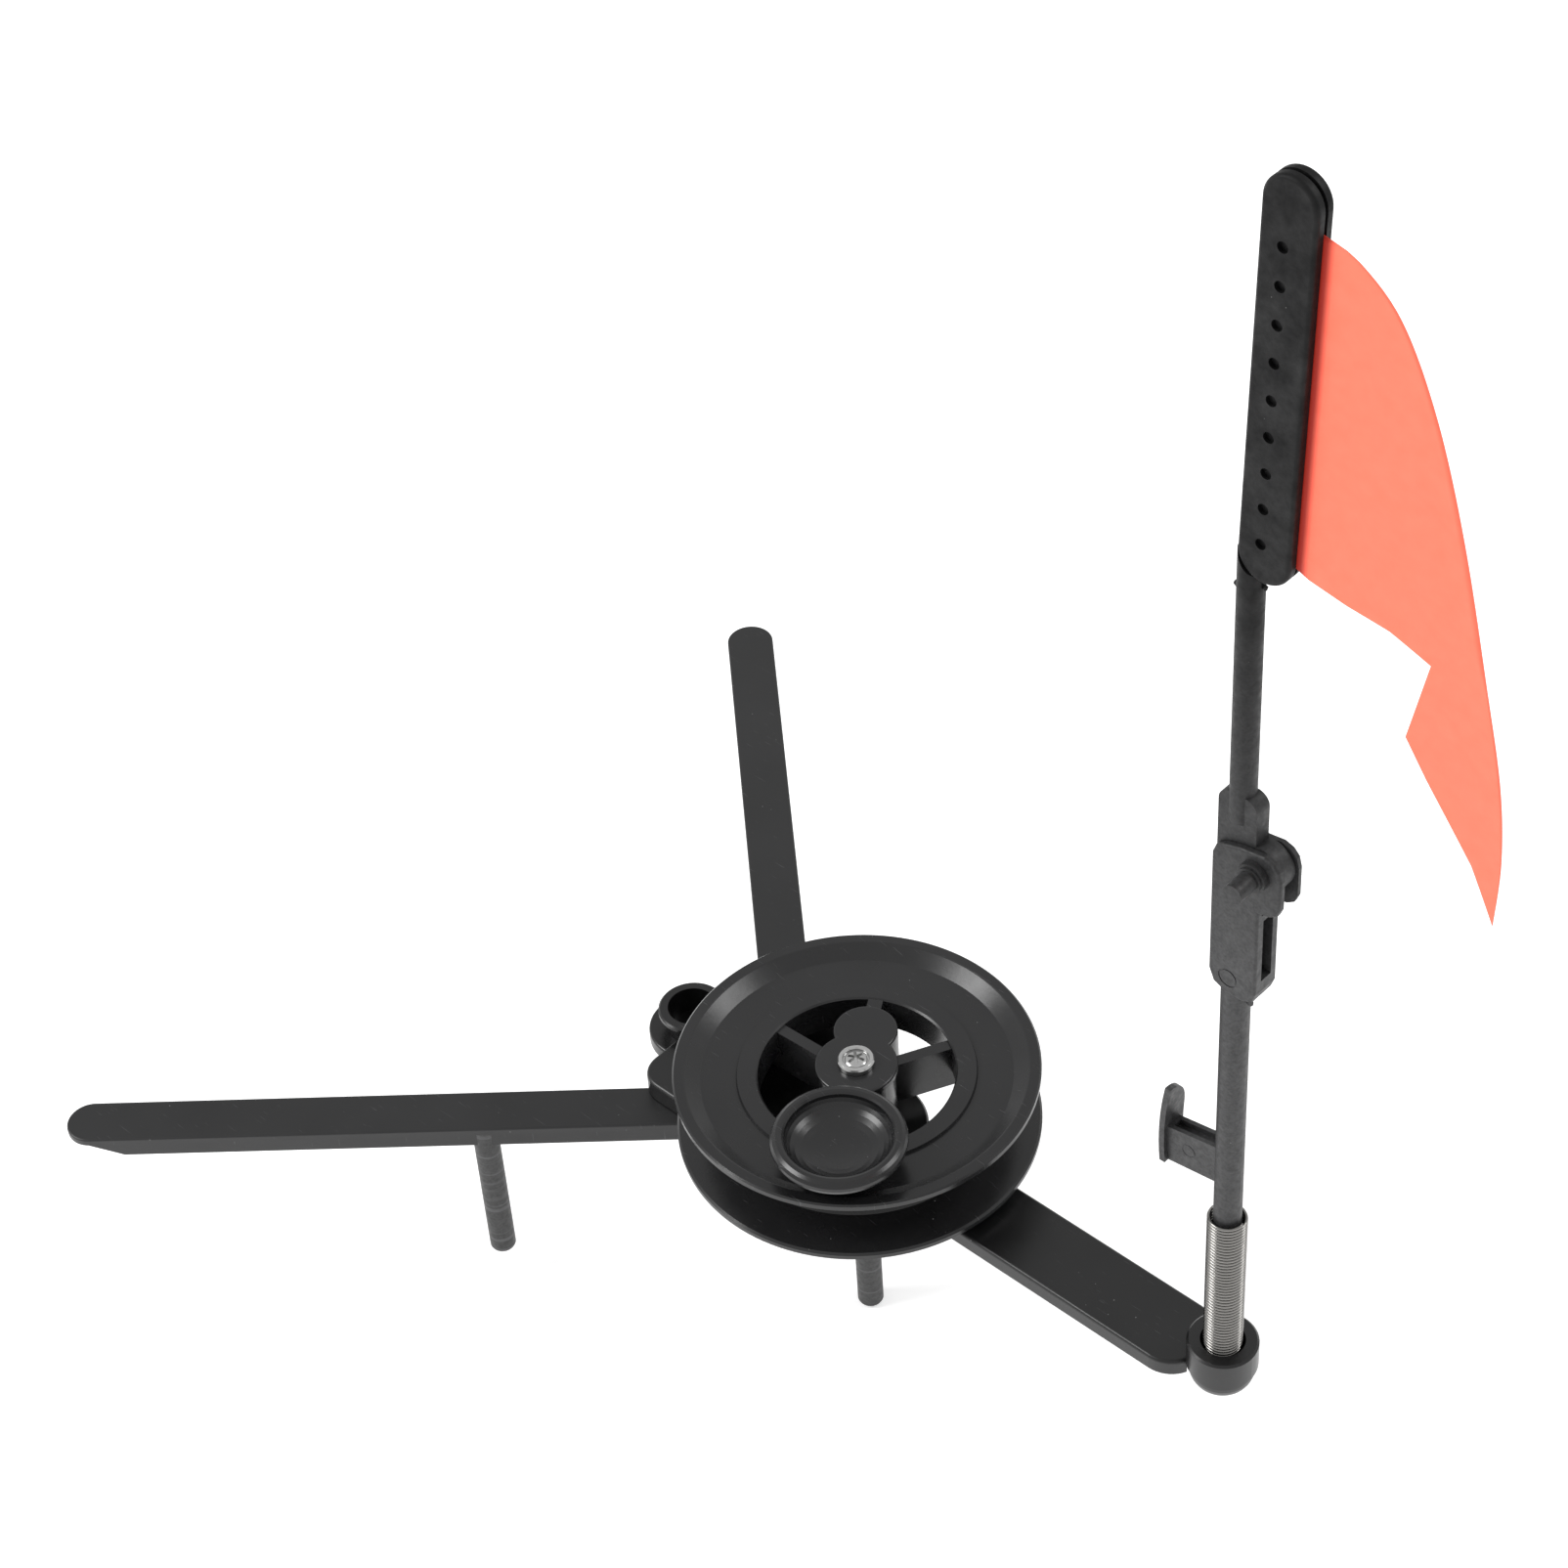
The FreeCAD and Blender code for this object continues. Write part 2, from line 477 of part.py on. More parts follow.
def make_catch_plate():
    """Upright fin across the end of the catch arm, slightly bowed, rounded off at its far upper corner."""
    half = CATCH_HALF_WIDTH
    bow = 85.0
    middle = 127.0
    shell = Part.makeCylinder(bow, 40, Vector(CATCH_X + bow, -20, middle), Y)
    shell = shell.cut(Part.makeCylinder(bow - CATCH_THICKNESS, 40, Vector(CATCH_X + bow, -20, middle), Y))
    rise = CATCH_TOP - CATCH_SHOULDER
    edge = [(-half + 2 * half * sin(radians(a)), CATCH_SHOULDER + rise * cos(radians(a))) for a in range(0, 91, 10)]
    rim = [Vector(CATCH_X - 1, y, z) for y, z in edge + [(half, CATCH_BOTTOM), (-half, CATCH_BOTTOM)]]
    blank = Part.Face(Part.makePolygon(rim + rim[:1])).extrude(Vector(6, 0, 0))
    return blank.common(shell)


def make_hinge_pin():
    """Hinge pin with a melted collar on one side and a stub that stands out beyond it."""
    x, z = PIN_X, PIN_Z
    side = FORK_HALF + 0.05
    collar = join(cross_rod(3.3, -side - 1.5, -side, x, z), cross_rod(2.7, -side - 2.1, -side - 1.5, x, z))
    head = cross_rod(3.2, side, side + 1.0, x, z)
    return join(cross_rod(PIN_RADIUS, STUB_END, side, x, z), collar, head)


def make_upper_pole():
    """Hinge tongue, rod and the rear half of the flag holder, one moulding."""
    tongue = upright_round(TONGUE_LEFT, TONGUE_RIGHT, TONGUE_BOTTOM, TONGUE_TOP, 2.9, TONGUE_HALF)
    knuckle = cross_rod(5.4, -TONGUE_HALF, TONGUE_HALF, PIN_X, PIN_Z)
    tongue = join(tongue, knuckle)
    tongue = tongue.cut(cross_rod(PIN_RADIUS + RUNNING, -8, 8, PIN_X, PIN_Z))
    start = TONGUE_TOP - 7.4
    pole = turned([(0, start), (UPPER_POLE - 0.5, start), (UPPER_POLE, start + 0.5), (UPPER_POLE, HOLDER_BOTTOM + 5.0),
                   (1.2, HOLDER_BOTTOM + 6.5), (0, HOLDER_BOTTOM + 6.5)], POLE_X)
    pole = pole.cut(holder_plate(-PLATE_OUTER - 1.0, -PLATE_INNER))   # the front leaf lies over the rod's end
    back = holder_plate(PLATE_INNER, PLATE_OUTER)
    studs = [stud(i, STUD_RADIUS, -PLATE_OUTER + 0.9, PLATE_INNER + 0.4) for i in range(STUDS)]
    return join(tongue, pole, back, *studs)


def holder_plate(y0, y1):
    """One leaf of the flag holder: a long round-ended plate, leaning with the holder."""
    r = HOLDER_WIDTH / 2
    leaf = join(box(-r, r, y0, y1, r, HOLDER_LENGTH - r), cross_rod(r, y0, y1, 0, r),
                cross_rod(r, y0, y1, 0, HOLDER_LENGTH - r))
    outer = y1 if abs(y1) > abs(y0) else y0
    leaf = round_edges(leaf, 0.9, lambda p: abs(p.y - outer) < 0.01)
    return lean(leaf)


def stud(index, radius, y0, y1):
    return lean(cross_rod(radius, y0, y1, STUD_SIDE, STUD_FIRST + index * STUD_PITCH))


def lean(shape):
    shape.rotate(Vector(0, 0, 0), Y, HOLDER_LEAN)
    shape.translate(Vector(HOLDER_X, 0, HOLDER_BOTTOM))
    return shape


def make_clamp_plate():
    """The front leaf of the flag holder, pressed over the studs."""
    leaf = holder_plate(-PLATE_OUTER, -PLATE_INNER)
    for i in range(STUDS):
        leaf = leaf.cut(stud(i, STUD_RADIUS, -PLATE_OUTER - 1, 0))
    return leaf


def make_flag():
    """Thin pennant held between the leaves: a falling outer edge and a notched lower end."""
    hoist_low, hoist_high = (109.2, 294.5), (111.4, 363.0)
    outer = [(118.3, 362.8), (134.3, 352.3), (149.7, 313.5), (159.6, 276.0), (162.4, 252.0)]
    tip, notch, corner = (161.7, 231.3), (140.7, 265.6), (144.9, 284.6)
    edge = Part.BSplineCurve()
    edge.interpolate([Vector(x, -FLAG_HALF, z) for x, z in outer])
    ring = [outer[-1], tip, notch, corner, (118.0, 289.6), hoist_low, hoist_high, outer[0]]
    corners = [Vector(x, -FLAG_HALF, z) for x, z in ring]
    sides = [Part.LineSegment(a, b).toShape() for a, b in zip(corners, corners[1:])]
    flag = Part.Face(Part.Wire([edge.toShape()] + sides)).extrude(Vector(0, 2 * FLAG_HALF, 0))
    for i in range(STUDS):
        flag = flag.cut(stud(i, STUD_RADIUS, -2, 2))
    return flag.cut(rod(UPPER_POLE, HOLDER_BOTTOM - 2, HOLDER_BOTTOM + 6.5, POLE_X))


def make_parts():
    head_seat = PIVOT_END - 1.0
    return {
        "main_body": make_main_body(),
        "socket_cap": make_socket_cap(),
        "center_peg": make_center_peg(),
        "thrust_washer": washer(8.6, AXLE_RADIUS + 0.2, HUB_TOP, SPOOL_BOTTOM - 0.1),
        "axle_screw": make_axle_screw(),
        "leg_pivot_screws": Part.makeCompound([pan_screw(2.9, 1.8, 1.5, 8.0, PIVOT_X, side * PIVOT_Y, head_seat, -1)
                                               for side in (-1, 1)]),
        "leg_pivot_washers": Part.makeCompound([washer(5.6, 1.6, PIVOT_END - 1.0, PIVOT_END, PIVOT_X,
                                                       side * PIVOT_Y) for side in (-1, 1)]),
        "spool": make_spool(),
        "hub_cover": make_hub_cover(),
        "spool_knob": make_knob(),
        "knob_screw": pan_screw(1.9, 1.3, 1.0, 14.2, *knob_place(), SPOKE_BOTTOM, -1),
        "leg_left": make_leg("left"),
        "leg_right": make_leg("right"),
        "peg_left": make_leg_peg("left"),
        "peg_right": make_leg_peg("right"),
        "flag_spring": make_spring(),
        "lower_pole": make_lower_pole(),
        "hinge_pin": make_hinge_pin(),
        "upper_pole": make_upper_pole(),
        "clamp_plate": make_clamp_plate(),
        "flag": make_flag(),
    }


os.makedirs("parts", exist_ok=True)
for name, shape in make_parts().items():
    shape.exportStep("parts/%s.step" % name)
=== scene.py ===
"""Ice fishing tip up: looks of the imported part, camera and studio."""
import json
import math
import random

import bpy
from mathutils import Matrix, Vector


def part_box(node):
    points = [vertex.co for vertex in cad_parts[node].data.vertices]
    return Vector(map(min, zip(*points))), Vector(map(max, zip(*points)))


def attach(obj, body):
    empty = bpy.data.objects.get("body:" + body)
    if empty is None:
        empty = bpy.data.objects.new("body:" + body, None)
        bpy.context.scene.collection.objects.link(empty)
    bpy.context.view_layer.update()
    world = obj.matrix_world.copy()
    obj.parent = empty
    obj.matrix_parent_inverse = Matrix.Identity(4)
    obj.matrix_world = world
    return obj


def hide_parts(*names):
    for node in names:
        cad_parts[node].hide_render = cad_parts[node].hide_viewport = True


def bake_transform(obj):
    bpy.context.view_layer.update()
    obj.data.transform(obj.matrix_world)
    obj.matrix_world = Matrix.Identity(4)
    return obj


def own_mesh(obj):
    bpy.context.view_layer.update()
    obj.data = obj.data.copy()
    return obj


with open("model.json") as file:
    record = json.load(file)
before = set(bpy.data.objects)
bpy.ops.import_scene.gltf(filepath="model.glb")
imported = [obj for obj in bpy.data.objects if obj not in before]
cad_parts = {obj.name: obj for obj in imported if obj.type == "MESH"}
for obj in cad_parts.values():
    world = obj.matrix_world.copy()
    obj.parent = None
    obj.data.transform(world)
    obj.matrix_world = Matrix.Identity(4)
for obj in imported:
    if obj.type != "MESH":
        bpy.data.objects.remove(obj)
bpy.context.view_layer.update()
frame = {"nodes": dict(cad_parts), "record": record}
random.seed(7)
NODES = frame["nodes"]

# metres
POLE_X = 0.1063                    # axis of the flag socket, spring and lower pole
WIRE = 0.00038                     # radius of the spring's wire
PITCH = 0.00093                    # rise of one turn of the spring
POLE_DARKENS = (0.19, 0.287)       # the pole goes from grey to black between these heights
FLAG_WIDTH = 0.0532
CLOTH_HALF = 0.00013               # half the flag's thickness
NOTCH_TOP = 0.2846                 # above this the flag's lower edge is nearly level,
NOTCH_STEP = 0.0004                # so the rows of its mesh lie this close

CAMERA_ANGLES = (45.7307, 42.7270, -4.3691)     # azimuth, elevation and roll in degrees
CAMERA_PLACE = (0.41136, -0.41725, 0.71397)
CAMERA_LENS = 85.82                # mm
STUDIO_AIM = (0.02, 0.0, 0.1)


# ---- material helpers -------------------------------------------------------------------------------
def new_material(name):
    mat = bpy.data.materials.new(name)
    mat.use_nodes = True
    tree = mat.node_tree
    return mat, tree, tree.nodes["Principled BSDF"]


def add(tree, kind, **values):
    node = tree.nodes.new(kind)
    for key, value in values.items():
        if key in node.inputs:
            node.inputs[key].default_value = value
        else:
            setattr(node, key, value)
    return node


def laid_out(tree, kind, stretch=(1, 1, 1), angle=0.0, **values):
    """A texture node laid out in the object's own space."""
    place = add(tree, "ShaderNodeTexCoord")
    mapping = add(tree, "ShaderNodeMapping", Rotation=(0, 0, angle), Scale=stretch)
    texture = add(tree, kind, **values)
    tree.links.new(place.outputs["Object"], mapping.inputs["Vector"])
    tree.links.new(mapping.outputs["Vector"], texture.inputs["Vector"])
    return texture


def noise(tree, scale, detail=4.0, stretch=(1, 1, 1)):
    return laid_out(tree, "ShaderNodeTexNoise", stretch, Scale=scale, Detail=detail).outputs["Fac"]


def coordinate(tree, space, axis):
    place = add(tree, "ShaderNodeTexCoord")
    apart = add(tree, "ShaderNodeSeparateXYZ")
    tree.links.new(place.outputs[space], apart.inputs[0])
    return apart.outputs[axis]


def spread(tree, value, low, high, start=0.3, end=0.7):
    """Maps a noise value onto a range, as a grey number."""
    node = add(tree, "ShaderNodeMapRange")
    node.inputs["From Min"].default_value = start
    node.inputs["From Max"].default_value = end
    node.inputs["To Min"].default_value = low
    node.inputs["To Max"].default_value = high
    tree.links.new(value, node.inputs["Value"])
    return node.outputs["Result"]


def mix(tree, fac, a, b):
    node = add(tree, "ShaderNodeMix", data_type="RGBA")
    tree.links.new(fac, node.inputs["Factor"])
    for socket, value in ((node.inputs[6], a), (node.inputs[7], b)):
        if isinstance(value, tuple):
            socket.default_value = (*value, 1.0)
        else:
            tree.links.new(value, socket)
    return node.outputs[2]


def bump(tree, shader, height, distance, strength=1.0):
    node = add(tree, "ShaderNodeBump", Distance=distance, Strength=strength)
    tree.links.new(height, node.inputs["Height"])
    tree.links.new(node.outputs["Normal"], shader.inputs["Normal"])


def scratches(tree, angle, scale):
    """Thin broken streaks along one direction."""
    streaks = laid_out(tree, "ShaderNodeTexNoise", (1.0, 26.0, 1.0), angle, Scale=scale, Detail=2.0)
    return spread(tree, streaks.outputs["Fac"], 0.0, 1.0, 0.715, 0.74)


def dusted(tree, base, amount, scale):
    """A few pale specks of dust, gathered in patches."""
    dust = laid_out(tree, "ShaderNodeTexVoronoi", Scale=scale)
    near = spread(tree, dust.outputs["Distance"], 1.0, 0.0, 0.035, 0.06)
    patch = spread(tree, noise(tree, 60.0, 2.0), 0.0, amount, 0.52, 0.62)
    both = add(tree, "ShaderNodeMath", operation="MULTIPLY")
    tree.links.new(near, both.inputs[0])
    tree.links.new(patch, both.inputs[1])
    return mix(tree, both.outputs[0], base, (0.3, 0.3, 0.3))


def moulded_plastic(name, dark, light, rough_low, rough_high, specks=0.5):
    """Black moulded plastic: soft flow marks, fine scratches and a few specks of dust."""
    mat, tree, shader = new_material(name)
    flow = spread(tree, noise(tree, 38.0, 3.0), 0.0, 1.0)
    base = mix(tree, flow, dark, light)
    worn = scratches(tree, 0.5, 150.0)
    base = mix(tree, worn, base, (0.045, 0.045, 0.047))
    base = dusted(tree, base, specks, 330.0)
    tree.links.new(base, shader.inputs["Base Color"])
    tree.links.new(spread(tree, noise(tree, 90.0, 5.0), rough_low, rough_high), shader.inputs["Roughness"])
    bump(tree, shader, noise(tree, 900.0, 3.0), 0.00002, 0.5)
    shader.inputs["Specular IOR Level"].default_value = 0.5
    return mat


def darker_aloft(tree, shader, base):
    """The pole is greyest at its foot and almost black, with less sheen, at the flag holder."""
    rise = spread(tree, coordinate(tree, "Object", "Z"), 0.0, 0.9, *POLE_DARKENS)
    blotch = spread(tree, noise(tree, 170.0, 3.0), 0.06, 0.2)
    sheen = add(tree, "ShaderNodeMix", data_type="FLOAT")
    sheen.inputs[2].default_value = 0.5
    tree.links.new(rise, sheen.inputs[0])
    tree.links.new(blotch, sheen.inputs[3])
    tree.links.new(sheen.outputs[0], shader.inputs["Specular IOR Level"])
    return mix(tree, rise, base, (0.004, 0.004, 0.0042))


def speckled_plastic(name, dark, light, rings=False):
    """Filled dark grey plastic with a fine grain, and on the pegs with fine rings."""
    mat, tree, shader = new_material(name)
    grain = spread(tree, noise(tree, 1500.0, 4.0), 0.0, 1.0, 0.35, 0.65)
    base = mix(tree, grain, dark, light)
    height = noise(tree, 1300.0, 3.0)
    if rings:
        band = noise(tree, 1.0, 2.0, (12.0, 12.0, 620.0))
        line = spread(tree, band, 0.0, 1.0, 0.56, 0.64)
        base = mix(tree, line, base, (0.065, 0.065, 0.067))
        height = band
    else:
        base = dusted(tree, darker_aloft(tree, shader, base), 0.45, 420.0)
    tree.links.new(base, shader.inputs["Base Color"])
    tree.links.new(spread(tree, noise(tree, 700.0, 3.0), 0.42, 0.62), shader.inputs["Roughness"])
    bump(tree, shader, height, 0.00007 if rings else 0.00004, 0.6)
    return mat


def metal(name, dark, light, rough_low, rough_high):
    mat, tree, shader = new_material(name)
    base = mix(tree, spread(tree, noise(tree, 400.0, 3.0), 0.0, 1.0), dark, light)
    tree.links.new(base, shader.inputs["Base Color"])
    tree.links.new(spread(tree, noise(tree, 800.0, 3.0), rough_low, rough_high), shader.inputs["Roughness"])
    shader.inputs["Metallic"].default_value = 1.0
    return mat


def flag_cloth():
    """Fluorescent orange coated cloth with a painted glow, and a deep red painted shade where the holder
    grips it.
    """
    mat, tree, shader = new_material("flag_cloth")
    weave = spread(tree, noise(tree, 260.0, 3.0), 0.0, 1.0)
    base = mix(tree, weave, (1.0, 0.135, 0.073), (1.0, 0.146, 0.081))
    # painted shade: from the hoist to just past the holder's plates the cloth is painted deep red, standing
    # for the shadow the holder casts on it
    shade = spread(tree, coordinate(tree, "UV", "X"), 1.0, 0.0, 0.145, 0.175)
    base = mix(tree, shade, base, (0.36, 0.018, 0.008))
    tree.links.new(base, shader.inputs["Base Color"])
    tree.links.new(spread(tree, noise(tree, 300.0, 3.0), 0.5, 0.62), shader.inputs["Roughness"])
    # painted glow: the cloth emits its own colour, so it looks brighter than the lamps make it; this stands
    # in for the cloth's fluorescence
    tree.links.new(base, shader.inputs["Emission Color"])
    shader.inputs["Emission Strength"].default_value = 0.28
    bump(tree, shader, noise(tree, 2600.0, 2.0), 0.00002, 0.4)
    return mat


MATERIALS = {
    "black_moulding": moulded_plastic(
        "black_moulding", (0.003, 0.003, 0.0032), (0.0055, 0.0055, 0.0058), 0.26, 0.36),
    "leg_moulding": moulded_plastic(
        "leg_moulding", (0.007, 0.007, 0.0074), (0.011, 0.011, 0.0116), 0.34, 0.44, 0.4),
    "spool_moulding": moulded_plastic(
        "spool_moulding", (0.008, 0.008, 0.0085), (0.011, 0.011, 0.0115), 0.2, 0.3),
    "pole_moulding": speckled_plastic("pole_moulding", (0.017, 0.017, 0.0175), (0.034, 0.034, 0.0355)),
    "peg_rod": speckled_plastic("peg_rod", (0.022, 0.022, 0.022), (0.038, 0.038, 0.038), rings=True),
    "washer_nylon": speckled_plastic("washer_nylon", (0.015, 0.015, 0.015), (0.03, 0.03, 0.03)),
    "bright_steel": metal("bright_steel", (0.5, 0.5, 0.495), (0.54, 0.54, 0.535), 0.16, 0.2),
    "spring_steel": metal("spring_steel", (0.23, 0.224, 0.214), (0.25, 0.243, 0.232), 0.14, 0.18),
    "flag_sheet": flag_cloth(),
}


def paint(obj, slot_name):
    obj.data.materials.clear()
    obj.data.materials.append(MATERIALS[slot_name])


for part in frame["record"]["subparts"]:
    paint(NODES[part["node"]], part["material_slot"])


# ---- mesh helpers -----------------------------------------------------------------------------------
def make_mesh(name, points, faces, slot_name, smooth=True):
    data = bpy.data.meshes.new(name)
    data.from_pydata(points, [], faces)
    data.update()
    obj = bpy.data.objects.new(name, data)
    bpy.context.scene.collection.objects.link(obj)
    for polygon in data.polygons:
        polygon.use_smooth = smooth
    paint(obj, slot_name)
    return obj


# ---- flag spring ------------------------------------------------------------------------------------
def make_coil():
    """The close-coiled wire of the flag spring."""
    low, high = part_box("flag_spring")
    radius = (high.x - low.x) / 2 - WIRE
    start, end = low.z + WIRE, high.z - WIRE
    turns = round((end - start) / PITCH)
    per_turn, sides = 36, 8
    count = turns * per_turn
    points, faces = [], []
    for i in range(count + 1):
        angle = 2 * math.pi * i / per_turn
        rise = start + (end - start) * i / count
        out = Vector((math.cos(angle), math.sin(angle), 0))
        centre = Vector((POLE_X, 0, rise)) + out * radius
        for j in range(sides):
            turn = 2 * math.pi * j / sides
            points.append(centre + out * (WIRE * math.cos(turn)) + Vector((0, 0, WIRE * math.sin(turn))))
    for i in range(count):
        for j in range(sides):
            a, b = i * sides + j, i * sides + (j + 1) % sides
            faces.append((a, b, b + sides, a + sides))
    faces.append(tuple(range(sides))[::-1])
    faces.append(tuple(count * sides + j for j in range(sides)))
    coil = make_mesh("spring_coil", points, faces, "spring_steel")
    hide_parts("flag_spring")
    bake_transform(coil)


make_coil()


# ---- flag -------------------------------------------------------------------------------------------
HOIST = [(0.1092, 0.2945), (0.1114, 0.3630)]
LOWER_EDGE = [(0.1617, 0.2313), (0.1562, 0.2429), (0.1456, 0.2579), (0.1407, 0.2656), (0.1449, 0.2846),
              (0.1360, 0.2876), (0.1268, 0.2887), (0.1187, 0.2904), (0.1092, 0.2945)]
OUTER_EDGE = [(0.1617, 0.2313), (0.1623, 0.2480), (0.1608, 0.2668), (0.1563, 0.2878), (0.1497, 0.3130),
              (0.1422, 0.3362), (0.1343, 0.3523), (0.1255, 0.3603), (0.1183, 0.3628)]


def curve_points(corners, steps=12):
    """Points on a smooth curve through the given (x, z) corners."""
    found = []
    last = len(corners) - 1
    for i in range(last):
        p = [Vector(corners[max(0, min(last, i + k))]) for k in (-1, 0, 1, 2)]
        for k in range(steps):
            f = k / steps
            found.append(0.5 * (2 * p[1] + (p[2] - p[0]) * f + (2 * p[0] - 5 * p[1] + 4 * p[2] - p[3]) * f * f
                                + (3 * p[1] - p[0] - 3 * p[2] + p[3]) * f ** 3))
    return found + [Vector(corners[-1])]


def x_at(points, z):
    """The x at which a chain of (x, z) points, rising in z, crosses a level."""
    for p, q in zip(points, points[1:]):
        if p[1] <= z <= q[1]:
            return p[0] + (q[0] - p[0]) * (z - p[1]) / max(q[1] - p[1], 1e-9)
    return points[-1][0] if z > points[-1][1] else points[0][0]


def flag_swing(u, v):
    """How far the cloth stands out of the pole's plane, u from the hoist outwards and v from the tip up."""
    return 0.0011 * u * math.sin(2.6 * u + 1.5 * v) + 0.0006 * u * u * math.sin(9.0 * v + 1.0)


def make_flag():
    outer = curve_points(OUTER_EDGE)
    inner = LOWER_EDGE + HOIST[1:]
    low, high = OUTER_EDGE[0][1], OUTER_EDGE[-1][1]
    levels = sorted({round(low + (high - low) * i / 110, 6) for i in range(111)}
                    | {round(z, 6) for x, z in LOWER_EDGE}
                    | {round(NOTCH_TOP + NOTCH_STEP * i, 6) for i in range(26)})
    across = 30
    points, coords, faces = [], [], []
    for side in (-1, 1):
        for z in levels:
            left, right = x_at(inner, z), max(x_at(outer, z), x_at(inner, z) + 0.00001)
            for i in range(across + 1):
                x = left + (right - left) * i / across
                hoist = x_at(HOIST, max(z, HOIST[0][1]))
                u, v = (x - hoist) / FLAG_WIDTH, (z - low) / (high - low)
                free = max(0.0, u - 0.13) / 0.87
                points.append((x, flag_swing(free, v) + side * CLOTH_HALF, z))
                coords.append((u, v))
    row = across + 1
    layer = row * len(levels)
    for k in range(len(levels) - 1):
        for i in range(across):
            a = k * row + i
            faces.append((a, a + 1, a + 1 + row, a + row))
            faces.append((layer + a, layer + a + row, layer + a + 1 + row, layer + a + 1))
        for i in (0, across):
            a = k * row + i
            rim = (a, a + row, layer + a + row, layer + a)
            faces.append(rim if i == 0 else rim[::-1])
    for k in (0, len(levels) - 1):
        for i in range(across):
            a = k * row + i
            rim = (a, layer + a, layer + a + 1, a + 1)
            faces.append(rim if k == 0 else rim[::-1])
    flag = make_mesh("flag_cloth", points, faces, "flag_sheet")
    layout = flag.data.uv_layers.new(name="UVMap")
    for loop in flag.data.loops:
        layout.data[loop.index].uv = coords[loop.vertex_index]
    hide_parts("flag")
    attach(flag, "upper_staff")
    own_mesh(flag)


make_flag()


# ---- moulding marks ---------------------------------------------------------------------------------
def make_lump(name, centre, half, body, slot_name):
    """A ragged scrap of flash left at a parting line."""
    rings, around = 5, 9
    points, faces = [(0, 0, -1)], []
    for i in range(1, rings):
        tilt = math.pi * i / rings
        for j in range(around):
            turn = 2 * math.pi * j / around
            ragged = random.uniform(0.72, 1.1)
            points.append((ragged * math.sin(tilt) * math.cos(turn), ragged * math.sin(tilt) * math.sin(turn),
                           -math.cos(tilt)))
    points.append((0, 0, 1))
    top = len(points) - 1
    for j in range(around):
        k = (j + 1) % around
        faces.append((0, 1 + k, 1 + j))
        faces.append((top, top - around + j, top - around + k))
        for i in range(rings - 2):
            a, b = 1 + i * around + j, 1 + i * around + k
            faces.append((a, b, b + around, a + around))
    placed = [tuple(c + h * v for c, h, v in zip(centre, half, p)) for p in points]
    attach(make_mesh(name, placed, faces, slot_name, smooth=False), body)


def make_ring_mark(name, centre, radius, thick, axis, body, slot_name):
    """The raised round outline that an ejector or gate leaves on a moulding."""
    around, sides = 40, 6
    points, faces = [], []
    for i in range(around):
        turn = 2 * math.pi * i / around
        for j in range(sides):
            small = 2 * math.pi * j / sides
            reach = radius + thick * math.cos(small)
            flat = (reach * math.cos(turn), reach * math.sin(turn), thick * math.sin(small))
            points.append(flat if axis == "Z" else (flat[0], flat[2], flat[1]))
    for i in range(around):
        for j in range(sides):
            a, b = i * sides + j, i * sides + (j + 1) % sides
            c, d = (a + sides) % len(points), (b + sides) % len(points)
            faces.append((a, c, d, b) if axis == "Z" else (a, b, d, c))
    placed = [tuple(c + v for c, v in zip(centre, p)) for p in points]
    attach(make_mesh(name, placed, faces, slot_name), body)


make_lump("flash_under_fork", (POLE_X + 0.0037, -0.0004, 0.1782), (0.0011, 0.0005, 0.0012), "lower_staff",
          "pole_moulding")
make_lump("flash_under_holder_rear", (POLE_X - 0.0031, 0, 0.2815), (0.0008, 0.0004, 0.0008), "upper_staff",
          "pole_moulding")
make_lump("flash_under_holder_front", (POLE_X + 0.0031, 0, 0.2838), (0.0007, 0.0004, 0.0007), "upper_staff",
          "pole_moulding")
make_ring_mark("catch_arm_mark", (0.0972, -0.0021, 0.1262), 0.0016, 0.00012, "Y", "lower_staff",
               "pole_moulding")


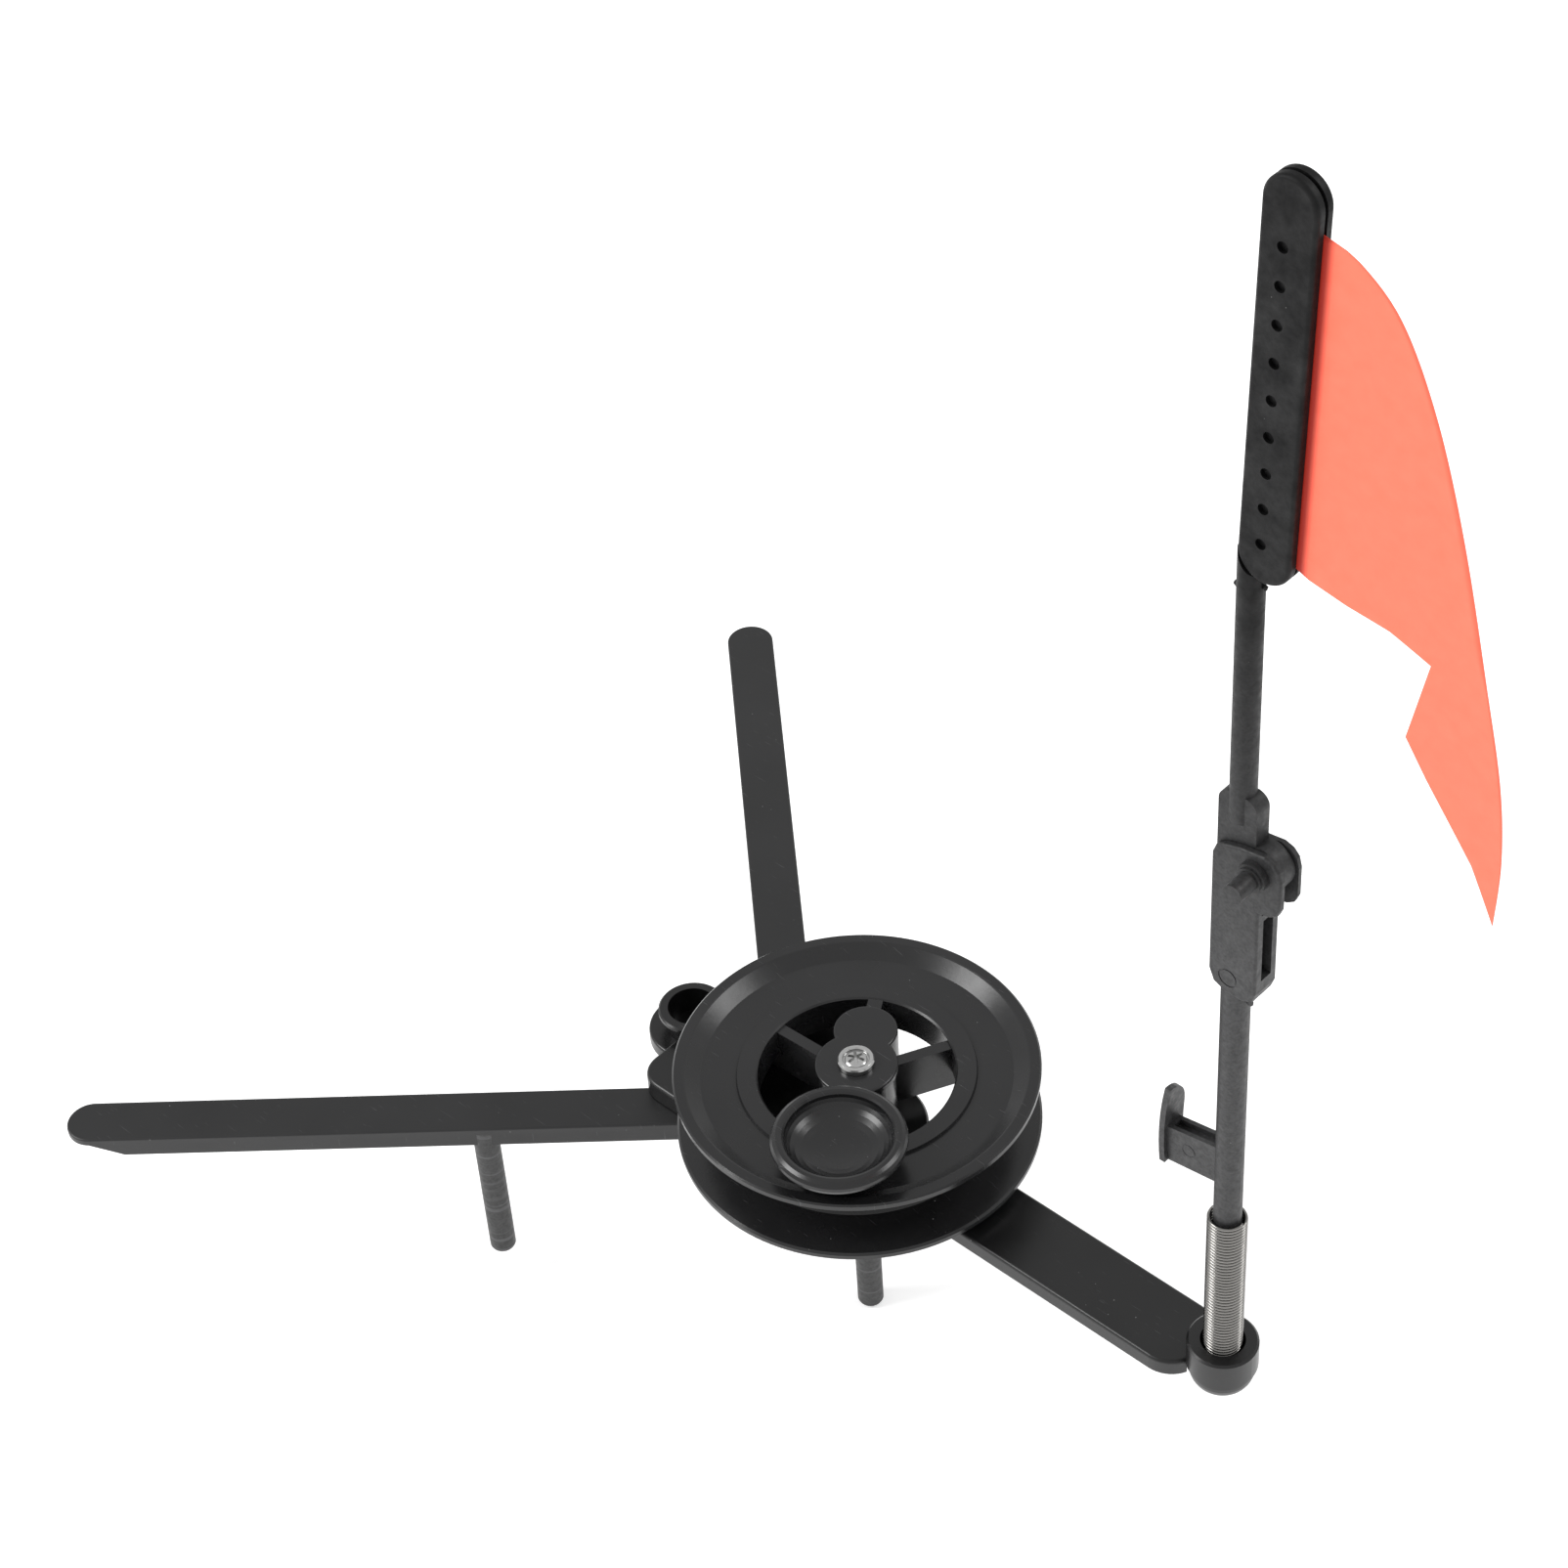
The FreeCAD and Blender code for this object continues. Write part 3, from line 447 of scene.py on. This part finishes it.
# ---- studio -----------------------------------------------------------------------------------------
def make_floor():
    data = bpy.data.meshes.new("studio_floor")
    data.from_pydata([(-6, -6, 0), (6, -6, 0), (6, 6, 0), (-6, 6, 0)], [], [(0, 1, 2, 3)])
    floor = bpy.data.objects.new("studio_floor", data)
    floor.location.z = -0.0004
    bpy.context.scene.collection.objects.link(floor)
    mat, tree, shader = new_material("studio_floor")
    shader.inputs["Base Color"].default_value = (0.93, 0.93, 0.93, 1)
    shader.inputs["Roughness"].default_value = 0.9
    shader.inputs["Specular IOR Level"].default_value = 0.1
    shader.inputs["Emission Color"].default_value = (1, 1, 1, 1)
    shader.inputs["Emission Strength"].default_value = 0.4
    data.materials.append(mat)


def make_light(name, place, aim, width, depth, power):
    data = bpy.data.lights.new(name, "AREA")
    data.shape = "RECTANGLE"
    data.size, data.size_y = width, depth
    data.energy = power
    light = bpy.data.objects.new(name, data)
    bpy.context.scene.collection.objects.link(light)
    light.location = place
    light.rotation_mode = "QUATERNION"
    light.rotation_quaternion = (Vector(aim) - Vector(place)).to_track_quat("-Z", "Y")


def make_world():
    world = bpy.data.worlds.new("studio")
    world.use_nodes = True
    world.node_tree.nodes["Background"].inputs["Color"].default_value = (1, 1, 1, 1)
    world.node_tree.nodes["Background"].inputs["Strength"].default_value = 0.72
    bpy.context.scene.world = world


def make_camera():
    azimuth, elevation, roll = (math.radians(a) for a in CAMERA_ANGLES)
    back = Vector((math.sin(azimuth) * math.cos(elevation), -math.cos(azimuth) * math.cos(elevation),
                   math.sin(elevation)))
    right = (-back).cross(Vector((0, 0, 1))).normalized()
    up = right.cross(-back)
    across = math.cos(roll) * right + math.sin(roll) * up
    upward = math.cos(roll) * up - math.sin(roll) * right
    data = bpy.data.cameras.new("photo_camera")
    data.sensor_width = 36.0
    data.lens = CAMERA_LENS
    data.clip_start, data.clip_end = 0.01, 50.0
    camera = bpy.data.objects.new("photo_camera", data)
    bpy.context.scene.collection.objects.link(camera)
    columns = Matrix((across, upward, back)).transposed().to_4x4()
    camera.matrix_world = Matrix.Translation(Vector(CAMERA_PLACE)) @ columns
    bpy.context.scene.camera = camera


make_floor()
make_world()
make_light("softbox_left", (-1.1, -1.15, 1.35), STUDIO_AIM, 0.9, 0.9, 24.0)
make_light("softbox_right", (1.05, 1.15, 1.5), STUDIO_AIM, 0.7, 0.7, 9.0)
make_camera()
bpy.context.scene.view_settings.view_transform = "Standard"
